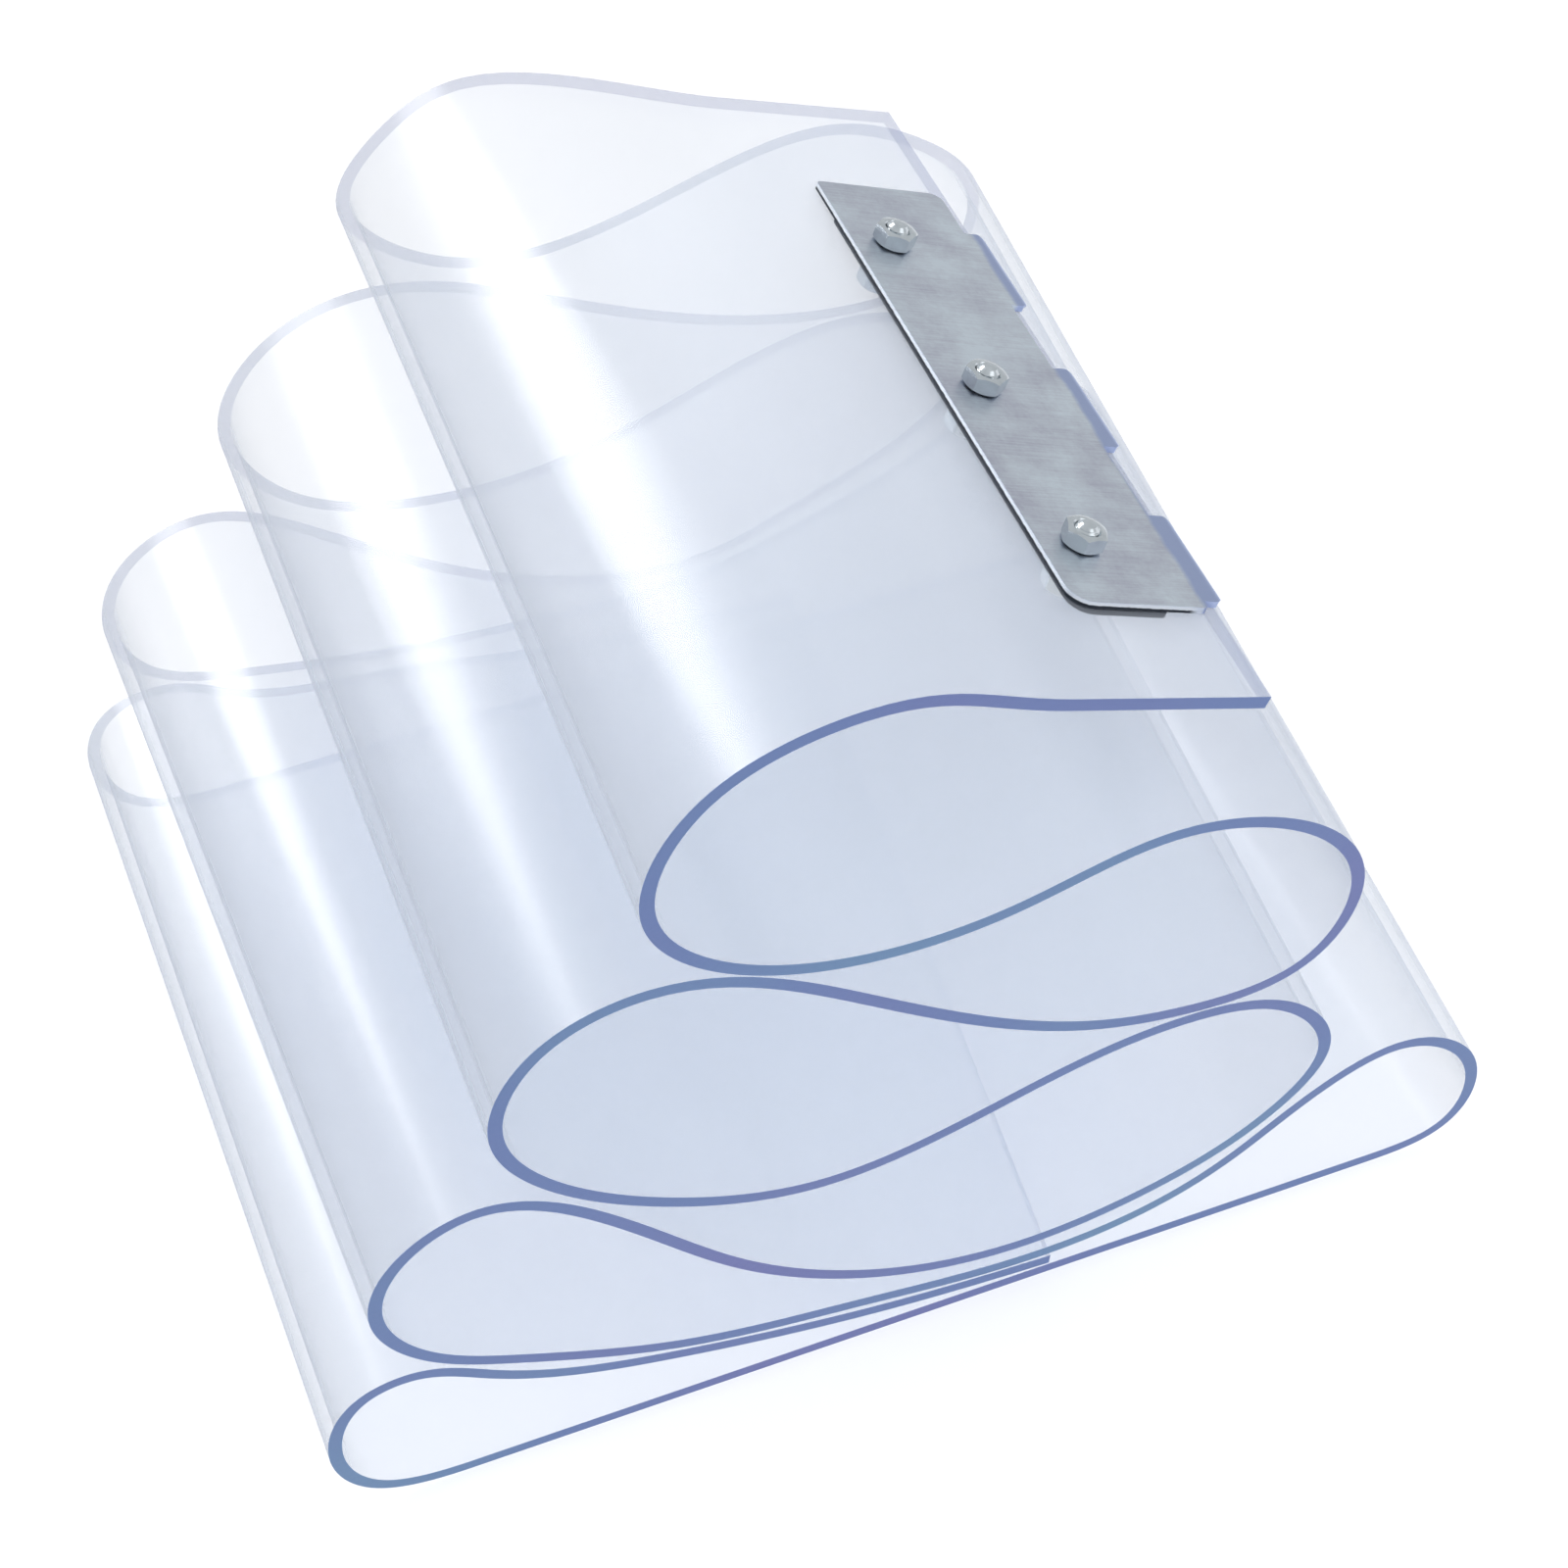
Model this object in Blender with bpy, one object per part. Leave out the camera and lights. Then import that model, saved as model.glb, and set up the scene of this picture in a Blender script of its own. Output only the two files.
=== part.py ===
"""One strip of a clear PVC strip curtain, folded zigzag into a loose pile.

The strip lies on its bottom layer, Y runs along the folds and +X towards the free end.
A hook clamp grips the free end on top: a hook plate above the strip and a counter plate
below it, held by a row of bolts and nuts through all three.
"""
import math

import bmesh
import bpy
import numpy as np
from mathutils import Matrix, Vector

MM = 0.001

# The strip, and the room that its folds take
STRIP_WIDTH = 200 * MM
STRIP_THICKNESS = 3 * MM
FOLD_WIDTH = 266 * MM        # between the outermost noses, along X
FOLD_RISE = 186 * MM         # height of the folds themselves, without the layers' thickness
LAYER_GAP = 0.4 * MM         # clear between layers that rest on each other

# The clamp
CLAMP_LENGTH = 141 * MM      # along the end of the strip
CLAMP_WIDTH = 30 * MM
CLAMP_SETBACK = 3 * MM       # from the end of the strip to the plates
CLAMP_OFFSET = 6.5 * MM      # from the middle of the strip towards the front
FLAT_MARGIN = 11 * MM        # flat strip behind the plates
PLATE_THICKNESS = 1.5 * MM
COUNTER_INSET = 4.5 * MM     # how much smaller the counter plate is, on every side
SEAT_GAP = 0.3 * MM          # between pieces that touch
LARGE_CORNER = 5 * MM
MIDDLE_CORNER = 3 * MM
SMALL_CORNER = 1 * MM

# The hooks of the hook plate
HOOK_WIDTH = 26.5 * MM
HOOK_MARGIN = 2 * MM         # from the front end of the plate to the first hook
HOOK_FAR_MARGIN = 15 * MM    # from the last hook to the back end of the plate
HOOK_REACH = 0.1 * MM        # flat tongue past the end of the strip, before the bend
HOOK_RADIUS = 0.8 * MM       # inside the bend
HOOK_LEG = 2.5 * MM          # straight leg after the bend
BEND_TAPER = 3 * MM          # how much each side draws in round the bend
LEG_TAPER = 3 * MM           # how much each side draws in along the leg

# The M5 bolts and nuts
BOLT_DIAMETER = 5 * MM
BOLT_MARGIN = 18 * MM        # from the front end of the hook plate to the first bolt
BOLT_FAR_MARGIN = 22 * MM    # from the last bolt to the back end of the hook plate
BOLT_INSET = 9.5 * MM        # from the inner edge of the hook plate
BOLT_PROUD = 1 * MM          # bolt end above its nut
BOLT_CHAMFER = 0.6 * MM
HEAD_ACROSS_FLATS = 8 * MM
HEAD_HEIGHT = 3.5 * MM
NUT_ACROSS_FLATS = 8 * MM
NUT_HEIGHT = 3.5 * MM
HEX_CHAMFER = 0.5 * MM
HOLE_CLEARANCE = 0.3 * MM    # round the bolt, in every hole
OVERRUN = 2 * MM             # how far a cutter passes its cut

END_DROOP = math.radians(22)
HOOK_BEND = math.radians(90)
SHARP_ANGLE = math.radians(35)
HOOKS = 3
BOLTS = 3
SPAN_STEPS = 8               # stations along each span of the route
BEND_STEPS = 6
CORNER_STEPS = 5
ROUND_SIDES = 20

# The route of the strip from behind the clamp down to the floor. Each row has the place
# across the folds and up them, the number of layers underneath, and how far the back
# edge of the strip lies from the front edge, across and up.
UPPER_ROUTE_SHARES = (
    (0.084, 0.941, 6.0, 0.023, -0.098),    # behind the clamp
    (-0.068, 1.006, 6.6, -0.034, -0.056),  # crown of the first left fold
    (-0.173, 0.950, 7.0, 0.000, -0.051),
    (-0.224, 0.805, 7.0, 0.014, -0.003),   # nose
    (-0.180, 0.697, 6.5, 0.024, 0.020),
    (-0.073, 0.636, 6.0, 0.009, 0.050),    # foot
    (0.053, 0.645, 5.6, -0.008, 0.075),
    (0.192, 0.695, 5.0, 0.004, 0.083),     # crown of the first right fold
    (0.297, 0.629, 5.0, -0.009, 0.093),
    (0.344, 0.497, 5.0, 0.001, 0.113),     # nose
    (0.308, 0.394, 4.5, 0.008, 0.118),
    (0.214, 0.384, 4.0, 0.019, 0.109),     # foot
    (0.105, 0.426, 4.2, 0.008, 0.102),
    (-0.055, 0.579, 4.7, -0.005, 0.061),
    (-0.226, 0.706, 5.0, 0.000, 0.000),    # crown of the second left fold
    (-0.305, 0.669, 5.0, 0.008, -0.011),
    (-0.345, 0.551, 5.0, 0.010, -0.005),   # nose
    (-0.313, 0.445, 4.5, 0.010, -0.001),
    (-0.216, 0.338, 4.0, 0.000, 0.038),
    (-0.090, 0.279, 3.9, -0.015, 0.078),   # foot
    (0.068, 0.336, 3.4, -0.030, 0.073),
    (0.211, 0.383, 3.0, 0.000, 0.109),     # crown of the second right fold
    (0.297, 0.348, 3.0, 0.004, 0.108),
    (0.344, 0.227, 3.0, 0.002, 0.124),     # nose
    (0.305, 0.138, 2.6, -0.004, 0.137),
    (0.192, 0.063, 2.0, -0.004, 0.140),
    (0.090, 0.033, 2.4, 0.000, 0.113),     # foot
    (-0.030, 0.060, 2.8, 0.000, 0.098),
    (-0.158, 0.180, 3.0, 0.000, 0.067),
    (-0.267, 0.365, 3.0, -0.008, 0.016),
    (-0.368, 0.455, 3.0, -0.009, -0.003),  # crown of the third left fold
    (-0.425, 0.413, 3.0, -0.011, -0.003),
    (-0.451, 0.313, 3.0, -0.012, -0.005),  # nose
    (-0.421, 0.224, 2.6, -0.015, -0.005),
    (-0.346, 0.159, 2.0, 0.000, 0.017),
    (-0.218, 0.076, 2.0, 0.000, 0.063),
    (-0.056, 0.029, 2.0, 0.000, 0.088),    # foot
    (0.075, 0.008, 1.8, 0.000, 0.112),
    (0.180, 0.030, 1.2, 0.000, 0.142),
    (0.274, 0.094, 1.0, 0.011, 0.141),
    (0.359, 0.188, 1.0, 0.006, 0.117),
    (0.414, 0.216, 1.0, -0.004, 0.115),    # crown of the lowest right fold
    (0.474, 0.173, 1.0, -0.004, 0.105),
    (0.500, 0.070, 1.0, -0.006, 0.075),    # nose
    (0.470, 0.005, 0.4, -0.004, 0.023),
    (0.414, 0.000, 0.0, -0.004, 0.000),    # on the floor
)
# The same for the tucked-in end, from the floor round the lowest left fold.
TUCKED_ROUTE_SHARES = (
    (-0.395, 0.000, 0.0, 0.000, 0.000),    # on the floor
    (-0.470, 0.020, 0.3, 0.000, 0.000),
    (-0.500, 0.103, 1.0, -0.002, 0.000),   # nose of the lowest left fold
    (-0.472, 0.199, 1.0, -0.002, -0.004),
    (-0.425, 0.212, 1.0, 0.000, -0.005),
    (-0.367, 0.162, 1.0, -0.002, 0.004),
    (-0.226, 0.075, 1.0, 0.000, 0.044),
    (-0.056, 0.023, 1.0, 0.000, 0.047),
    (0.113, 0.000, 1.0, 0.060, 0.038),     # the hidden end
)


def finish(name, colour, roughness, metallic, alpha=1.0):
    material = bpy.data.materials.new(name)
    material.use_nodes = True
    shader = material.node_tree.nodes["Principled BSDF"]
    shader.inputs["Base Color"].default_value = (*colour, 1.0)
    shader.inputs["Roughness"].default_value = roughness
    shader.inputs["Metallic"].default_value = metallic
    shader.inputs["Alpha"].default_value = alpha
    return material


def add_object(name, mesh, material, parent=None):
    item = bpy.data.objects.new(name, mesh)
    bpy.context.scene.collection.objects.link(item)
    if material:
        mesh.materials.append(material)
    item.parent = parent
    return item


def cut(item, cutter):
    cutter.hide_render = True
    cutter.display_type = "WIRE"
    cutter.hide_set(True)
    modifier = item.modifiers.new("Cut " + cutter.name, "BOOLEAN")
    modifier.operation = "DIFFERENCE"
    modifier.solver = "EXACT"
    modifier.object = cutter


def route_points(shares):
    """Places of the centre line at the front and back edges: x, z, x, z in each row."""
    rows = []
    for across, up, layers, back_across, back_up in shares:
        stack = layers * (STRIP_THICKNESS + LAYER_GAP) + STRIP_THICKNESS / 2
        rows.append((
            across * FOLD_WIDTH,
            up * FOLD_RISE + stack,
            (across + back_across) * FOLD_WIDTH,
            (up + back_up) * FOLD_RISE + stack,
        ))
    return np.array(rows)


def smooth_route(points, first_direction=None, last_direction=None):
    """Cubic spline through the points, with the given directions at its ends."""
    spans = np.linalg.norm(np.diff(points, axis=0), axis=1) / math.sqrt(2)
    count = len(points)
    system = np.zeros((count, count))
    right = np.zeros_like(points)
    for i in range(1, count - 1):
        system[i, i - 1:i + 2] = spans[i], 2 * (spans[i - 1] + spans[i]), spans[i - 1]
        right[i] = 3 * (spans[i] * (points[i] - points[i - 1]) / spans[i - 1]
                        + spans[i - 1] * (points[i + 1] - points[i]) / spans[i])
    for end, inner, span, direction in (
            (0, 1, spans[0], first_direction), (count - 1, count - 2, spans[-1], last_direction)):
        if direction is not None:
            system[end, end] = 1
            right[end] = direction
        else:
            sign = 1 if end == 0 else -1
            system[end, end], system[end, inner] = 2, 1
            right[end] = sign * 3 * (points[inner] - points[end]) / span
    slopes = np.linalg.solve(system, right)
    stations = []
    for i, span in enumerate(spans):
        for t in np.arange(SPAN_STEPS) / SPAN_STEPS:
            stations.append((1 + 2 * t) * (1 - t) ** 2 * points[i] + t * (1 - t) ** 2 * span * slopes[i]
                            + t * t * (3 - 2 * t) * points[i + 1] + t * t * (t - 1) * span * slopes[i + 1])
    stations.append(points[-1])
    return np.array(stations)


def strip_centre_line():
    """The whole centre line from the clamped end to the hidden end, front and back."""
    upper = route_points(UPPER_ROUTE_SHARES)
    tucked = route_points(TUCKED_ROUTE_SHARES)
    inward = np.array((-math.cos(END_DROOP), math.sin(END_DROOP)) * 2)
    flat = CLAMP_SETBACK + CLAMP_WIDTH + FLAT_MARGIN
    along_floor = np.array((-1, 0, -1, 0))
    folds = smooth_route(upper, inward, along_floor)
    tuck = smooth_route(tucked, along_floor)
    line = np.vstack([folds[:1] - inward * flat, folds, tuck])
    middle = (line[:, (0, 2)].min() + line[:, (0, 2)].max()) / 2
    line[:, (0, 2)] -= middle
    return line


def edge_normals(line):
    """Unit normals of one edge's centre line in its own upright plane."""
    tangents = np.gradient(line, axis=0)
    tangents[0] = line[1] - line[0]
    tangents[1] = tangents[0]
    tangents /= np.linalg.norm(tangents, axis=1, keepdims=True)
    return np.stack([-tangents[:, 1], tangents[:, 0]], axis=1)


def strip_mesh(line):
    """The centre line given its thickness, as a ruled sheet from front to back."""
    shape = bmesh.new()
    sections = []
    for station, front, back in zip(line, edge_normals(line[:, :2]), edge_normals(line[:, 2:])):
        section = []
        for y, centre, normal, sides in ((-STRIP_WIDTH / 2, station[:2], front, (-1, 1)),
                                         (STRIP_WIDTH / 2, station[2:], back, (1, -1))):
            for side in sides:
                x, z = centre + normal * side * STRIP_THICKNESS / 2
                section.append(shape.verts.new((x, y, z)))
        sections.append(section)
    for here, there in zip(sections, sections[1:]):
        wall(shape, here, there)
    shape.faces.new(sections[0])
    shape.faces.new(sections[-1])
    return closed_mesh("pvc_strip", shape)


def rounded_outline(corners):
    """Outline through corners given as place and radius, each replaced by an arc."""
    outline = []
    count = len(corners)
    for i, (corner, radius) in enumerate(corners):
        corner = Vector(corner)
        if not radius:
            outline.append(corner)
            continue
        before = (Vector(corners[i - 1][0]) - corner).normalized()
        after = (Vector(corners[(i + 1) % count][0]) - corner).normalized()
        centre = corner + (before + after) * radius
        for step in range(CORNER_STEPS + 1):
            turn = math.pi / 2 * step / CORNER_STEPS
            outline.append(centre - after * radius * math.cos(turn) - before * radius * math.sin(turn))
    return outline


def plate_mesh(name, inset, with_hooks):
    """A plate in the clamp's frame, its hook edge along Y."""
    near, far = CLAMP_SETBACK + inset, CLAMP_SETBACK + CLAMP_WIDTH - inset
    front = CLAMP_OFFSET + CLAMP_LENGTH / 2 - inset
    back = CLAMP_OFFSET - CLAMP_LENGTH / 2 + inset
    corners = [((near, back), MIDDLE_CORNER), ((far, back), SMALL_CORNER),
               ((far, front), LARGE_CORNER), ((near, front), SMALL_CORNER)]
    roots = []
    if with_hooks:
        first, last = front - HOOK_MARGIN, back + HOOK_FAR_MARGIN + HOOK_WIDTH
        for end in np.linspace(first, last, HOOKS):
            roots.append((end - HOOK_WIDTH, end))
            corners += [((near, end), 0), ((near, end - HOOK_WIDTH), 0)]
    outline = rounded_outline(corners)
    shape = bmesh.new()
    base = shape.faces.new([shape.verts.new((x, y, 0)) for x, y in outline])
    raised = bmesh.ops.extrude_face_region(shape, geom=[base])["geom"]
    bmesh.ops.translate(shape, vec=(0, 0, PLATE_THICKNESS),
                        verts=[v for v in raised if isinstance(v, bmesh.types.BMVert)])
    for start, end in roots:
        bend_hook(shape, near, start, end)
    return closed_mesh(name, shape)


def bend_hook(shape, near, start, end):
    """Draws one hook out of the plate's edge face: tongue, bend and leg."""
    middle = Vector((near, (start + end) / 2, PLATE_THICKNESS / 2))
    face = min(shape.faces, key=lambda f: (f.calc_center_median() - middle).length)
    face = extrude_face(shape, face, Vector((-near - HOOK_REACH, 0, 0)))
    centre = Vector((-HOOK_REACH, middle.y, -HOOK_RADIUS))
    for _ in range(BEND_STEPS):
        face = extrude_face(shape, face, Vector((0, 0, 0)))
        bmesh.ops.rotate(shape, cent=centre, verts=face.verts,
                         matrix=Matrix.Rotation(-HOOK_BEND / BEND_STEPS, 3, "Y"))
        draw_in(face, middle.y, BEND_TAPER / BEND_STEPS)
    down = Vector((-math.cos(HOOK_BEND), 0, -math.sin(HOOK_BEND)))
    face = extrude_face(shape, face, down * HOOK_LEG)
    draw_in(face, middle.y, LEG_TAPER)


def draw_in(face, middle, distance):
    """Moves both sides of a hook's end face towards its middle."""
    for vertex in face.verts:
        vertex.co.y += distance if vertex.co.y < middle else -distance


def extrude_face(shape, face, move):
    drawn = bmesh.ops.extrude_discrete_faces(shape, faces=[face])["faces"][0]
    bmesh.ops.translate(shape, vec=move, verts=drawn.verts)
    return drawn


def ring(shape, radius, height, sides=ROUND_SIDES):
    turns = [2 * math.pi * side / sides for side in range(sides)]
    return [shape.verts.new((radius * math.cos(turn), radius * math.sin(turn), height)) for turn in turns]


def wall(shape, low, high):
    """Faces between two rings, whose counts may differ, both starting at +X."""
    i = j = 0
    while i < len(low) or j < len(high):
        here, there = low[i % len(low)], high[j % len(high)]
        if j == len(high) or (i < len(low) and (2 * i + 1) * len(high) <= (2 * j + 1) * len(low)):
            i += 1
            shape.faces.new((here, low[i % len(low)], there))
        else:
            j += 1
            shape.faces.new((here, high[j % len(high)], there))


def closed_mesh(name, shape):
    """Turns the faces outward and gives the shape to a mesh with smooth round sides."""
    bmesh.ops.recalc_face_normals(shape, faces=shape.faces)
    mesh = bpy.data.meshes.new(name)
    shape.to_mesh(mesh)
    shape.free()
    mesh.shade_smooth()
    mesh.set_sharp_from_angle(angle=SHARP_ANGLE)
    return mesh


def hexagon(shape, across_flats, low, high):
    """Rings of a hexagon prism whose corners are taken off at both ends."""
    corner = across_flats / math.sqrt(3)
    profile = ((corner - HEX_CHAMFER, low), (corner, low + HEX_CHAMFER),
               (corner, high - HEX_CHAMFER), (corner - HEX_CHAMFER, high))
    rings = [ring(shape, radius, height, 6) for radius, height in profile]
    for lower, upper in zip(rings, rings[1:]):
        wall(shape, lower, upper)
    return rings[0], rings[-1]


def drill_mesh(length):
    shape = bmesh.new()
    radius = BOLT_DIAMETER / 2 + HOLE_CLEARANCE
    low, high = ring(shape, radius, 0), ring(shape, radius, length)
    wall(shape, low, high)
    shape.faces.new(low)
    shape.faces.new(high)
    return closed_mesh("drill", shape)


def bolt_mesh(shank_length):
    """Hexagon head below Z = 0 and a shank above it, chamfered at its end."""
    shape = bmesh.new()
    bottom, shoulder = hexagon(shape, HEAD_ACROSS_FLATS, -HEAD_HEIGHT, 0)
    radius = BOLT_DIAMETER / 2
    shank = [ring(shape, radius, 0), ring(shape, radius, shank_length - BOLT_CHAMFER),
             ring(shape, radius - BOLT_CHAMFER, shank_length)]
    wall(shape, shoulder, shank[0])
    wall(shape, shank[0], shank[1])
    wall(shape, shank[1], shank[2])
    shape.faces.new(bottom)
    shape.faces.new(shank[2])
    return closed_mesh("bolt", shape)


def nut_mesh():
    """Hexagon nut standing on Z = 0, with its bore."""
    shape = bmesh.new()
    bottom, top = hexagon(shape, NUT_ACROSS_FLATS, 0, NUT_HEIGHT)
    bore = BOLT_DIAMETER / 2 + HOLE_CLEARANCE
    low, high = ring(shape, bore, 0), ring(shape, bore, NUT_HEIGHT)
    wall(shape, low, high)
    wall(shape, bottom, low)
    wall(shape, top, high)
    return closed_mesh("nut", shape)


def clamp_frame(line):
    """Empty at the middle of the strip's end: X into the strip, Y to the front, Z off it."""
    front = Vector((line[0, 0], -STRIP_WIDTH / 2, line[0, 1]))
    back = Vector((line[0, 2], STRIP_WIDTH / 2, line[0, 3]))
    inward = Vector((-math.cos(END_DROOP), 0, math.sin(END_DROOP)))
    along = (front - back).normalized()
    normal = inward.cross(along).normalized()
    axes = Matrix((along.cross(normal), along, normal)).transposed()
    frame = bpy.data.objects.new("clamp_frame", None)
    bpy.context.scene.collection.objects.link(frame)
    frame.matrix_world = Matrix.Translation((front + back) / 2) @ axes.to_4x4()
    return frame


def bolt_places():
    first = CLAMP_OFFSET - CLAMP_LENGTH / 2 + BOLT_FAR_MARGIN
    last = CLAMP_OFFSET + CLAMP_LENGTH / 2 - BOLT_MARGIN
    inward = CLAMP_SETBACK + CLAMP_WIDTH - BOLT_INSET
    return [(inward, y) for y in np.linspace(first, last, BOLTS)]


def build():
    for item in list(bpy.data.objects):
        bpy.data.objects.remove(item, do_unlink=True)

    line = strip_centre_line()
    frame = clamp_frame(line)
    half = STRIP_THICKNESS / 2
    strip = add_object("pvc_strip", strip_mesh(line), finish("clear_pvc", (0.80, 0.86, 0.93), 0.06, 0, 0.35))
    hook_plate = add_object("hook_plate", plate_mesh("hook_plate", 0, True),
                            finish("brushed_plate", (0.40, 0.42, 0.45), 0.38, 1), frame)
    hook_plate.location.z = half + SEAT_GAP
    counter_plate = add_object("counter_plate", plate_mesh("counter_plate", COUNTER_INSET, False),
                               finish("counter_plate", (0.38, 0.40, 0.43), 0.4, 1), frame)
    counter_plate.location.z = -half - SEAT_GAP - PLATE_THICKNESS

    nut_seat = hook_plate.location.z + PLATE_THICKNESS + SEAT_GAP
    head_seat = counter_plate.location.z - SEAT_GAP
    shank = nut_seat + NUT_HEIGHT + BOLT_PROUD - head_seat
    for number, (x, y) in enumerate(bolt_places(), start=1):
        drill = add_object(f"drill_{number}", drill_mesh(shank + 2 * OVERRUN), None, frame)
        drill.location = (x, y, head_seat - OVERRUN)
        for item in (strip, hook_plate, counter_plate):
            cut(item, drill)
        bolt = add_object(f"bolt_{number}", bolt_mesh(shank),
                          finish("bolt", (0.60, 0.62, 0.65), 0.3, 1), frame)
        bolt.location = (x, y, head_seat)
        nut = add_object(f"nut_{number}", nut_mesh(),
                         finish("nut", (0.64, 0.66, 0.69), 0.25, 1), frame)
        nut.location = (x, y, nut_seat)


build()
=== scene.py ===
"""Looks of a clear PVC curtain strip, folded into a pile, with the hook clamp on its end."""
import math

import bmesh
import bpy
import numpy as np
from bpy.props import FloatProperty, FloatVectorProperty, IntProperty, PointerProperty
from mathutils import Matrix, Vector


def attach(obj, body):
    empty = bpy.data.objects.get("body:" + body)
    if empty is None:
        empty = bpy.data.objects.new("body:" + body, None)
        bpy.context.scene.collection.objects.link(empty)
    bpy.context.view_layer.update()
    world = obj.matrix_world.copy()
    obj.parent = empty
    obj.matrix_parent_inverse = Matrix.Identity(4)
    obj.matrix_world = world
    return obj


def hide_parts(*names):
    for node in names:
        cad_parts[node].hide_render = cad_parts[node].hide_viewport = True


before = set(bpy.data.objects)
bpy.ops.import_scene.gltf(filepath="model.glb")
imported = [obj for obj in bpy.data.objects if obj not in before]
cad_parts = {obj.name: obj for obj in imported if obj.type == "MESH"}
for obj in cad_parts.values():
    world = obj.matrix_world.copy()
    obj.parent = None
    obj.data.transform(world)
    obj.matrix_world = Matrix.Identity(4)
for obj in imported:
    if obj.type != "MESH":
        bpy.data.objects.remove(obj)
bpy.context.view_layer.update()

bl_info = {
    "name": "PVC curtain strip",
    "version": (1, 0, 0),
    "blender": (4, 5, 0),
    "location": "3D View > Sidebar > Strip",
    "description": "Dresses a folded curtain strip, its hook clamp and its fasteners",
    "category": "Object",
}

MM = 0.001
BODY = "root"

# The route of the strip, as the frame has it. Each row has the place across the folds and
# up them, the layers underneath, and how far the back edge lies from the front one.
FOLD_WIDTH = 266 * MM
FOLD_RISE = 186 * MM
LAYER_GAP = 0.4 * MM
END_DROOP = math.radians(22)
CLAMPED_END = 44 * MM            # straight end of the strip, from its edge to the first bend
UPPER_ROUTE = (
    (0.084, 0.941, 6.0, 0.023, -0.098), (-0.068, 1.006, 6.6, -0.034, -0.056),
    (-0.173, 0.950, 7.0, 0.000, -0.051), (-0.224, 0.805, 7.0, 0.014, -0.003),
    (-0.180, 0.697, 6.5, 0.024, 0.020), (-0.073, 0.636, 6.0, 0.009, 0.050),
    (0.053, 0.645, 5.6, -0.008, 0.075), (0.192, 0.695, 5.0, 0.004, 0.083),
    (0.297, 0.629, 5.0, -0.009, 0.093), (0.344, 0.497, 5.0, 0.001, 0.113),
    (0.308, 0.394, 4.5, 0.008, 0.118), (0.214, 0.384, 4.0, 0.019, 0.109),
    (0.105, 0.426, 4.2, 0.008, 0.102), (-0.055, 0.579, 4.7, -0.005, 0.061),
    (-0.226, 0.706, 5.0, 0.000, 0.000), (-0.305, 0.669, 5.0, 0.008, -0.011),
    (-0.345, 0.551, 5.0, 0.010, -0.005), (-0.313, 0.445, 4.5, 0.010, -0.001),
    (-0.216, 0.338, 4.0, 0.000, 0.038), (-0.090, 0.279, 3.9, -0.015, 0.078),
    (0.068, 0.336, 3.4, -0.030, 0.073), (0.211, 0.383, 3.0, 0.000, 0.109),
    (0.297, 0.348, 3.0, 0.004, 0.108), (0.344, 0.227, 3.0, 0.002, 0.124),
    (0.305, 0.138, 2.6, -0.004, 0.137), (0.192, 0.063, 2.0, -0.004, 0.140),
    (0.090, 0.033, 2.4, 0.000, 0.113), (-0.030, 0.060, 2.8, 0.000, 0.098),
    (-0.158, 0.180, 3.0, 0.000, 0.067), (-0.267, 0.365, 3.0, -0.008, 0.016),
    (-0.368, 0.455, 3.0, -0.009, -0.003), (-0.425, 0.413, 3.0, -0.011, -0.003),
    (-0.451, 0.313, 3.0, -0.012, -0.005), (-0.421, 0.224, 2.6, -0.015, -0.005),
    (-0.346, 0.159, 2.0, 0.000, 0.017), (-0.218, 0.076, 2.0, 0.000, 0.063),
    (-0.056, 0.029, 2.0, 0.000, 0.088), (0.075, 0.008, 1.8, 0.000, 0.112),
    (0.180, 0.030, 1.2, 0.000, 0.142), (0.274, 0.094, 1.0, 0.011, 0.141),
    (0.359, 0.188, 1.0, 0.006, 0.117), (0.414, 0.216, 1.0, -0.004, 0.115),
    (0.474, 0.173, 1.0, -0.004, 0.105), (0.500, 0.070, 1.0, -0.006, 0.075),
    (0.470, 0.005, 0.4, -0.004, 0.023), (0.414, 0.000, 0.0, -0.004, 0.000),
)
TUCKED_ROUTE = (
    (-0.395, 0.000, 0.0, 0.000, 0.000), (-0.470, 0.020, 0.3, 0.000, 0.000),
    (-0.500, 0.103, 1.0, -0.002, 0.000), (-0.472, 0.199, 1.0, -0.002, -0.004),
    (-0.425, 0.212, 1.0, 0.000, -0.005), (-0.367, 0.162, 1.0, -0.002, 0.004),
    (-0.226, 0.075, 1.0, 0.000, 0.044), (-0.056, 0.023, 1.0, 0.000, 0.047),
    (0.113, 0.000, 1.0, 0.060, 0.038),
)

# Seats on the clamp, in its own frame: X into the strip, Y to the front, Z off the strip
PLATE_THICKNESS = 1.5 * MM
SEAT_GAP = 0.3 * MM
PLATE_TOP = 3.3 * MM             # outer face of the hook plate, above the strip's middle
BOLTS_OFFSET = 8.5 * MM          # the middle bolt, from the middle of the strip to the front
BOLT_INSET = 23.5 * MM
HOOK_EDGE = 3 * MM               # edge of the plate that the hooks stand out from
BOLT_PITCH = 50.5 * MM
BOLTS = 3
NUT_HEIGHT = 3.5 * MM
NUT_FLATS = 8 * MM
BOLT_RADIUS = 2.48 * MM
BOLT_HEAD = 3.5 * MM
BOLT_PROUD = 1 * MM              # bolt end above its nut
BOLT_HOLE = 2.8 * MM             # radius of the holes in the strip
NUT_TURNS = (-18, -21, 10)       # degrees, from the back of the strip to the front
BOLT_TURNS = (30, 95, 200)

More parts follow.
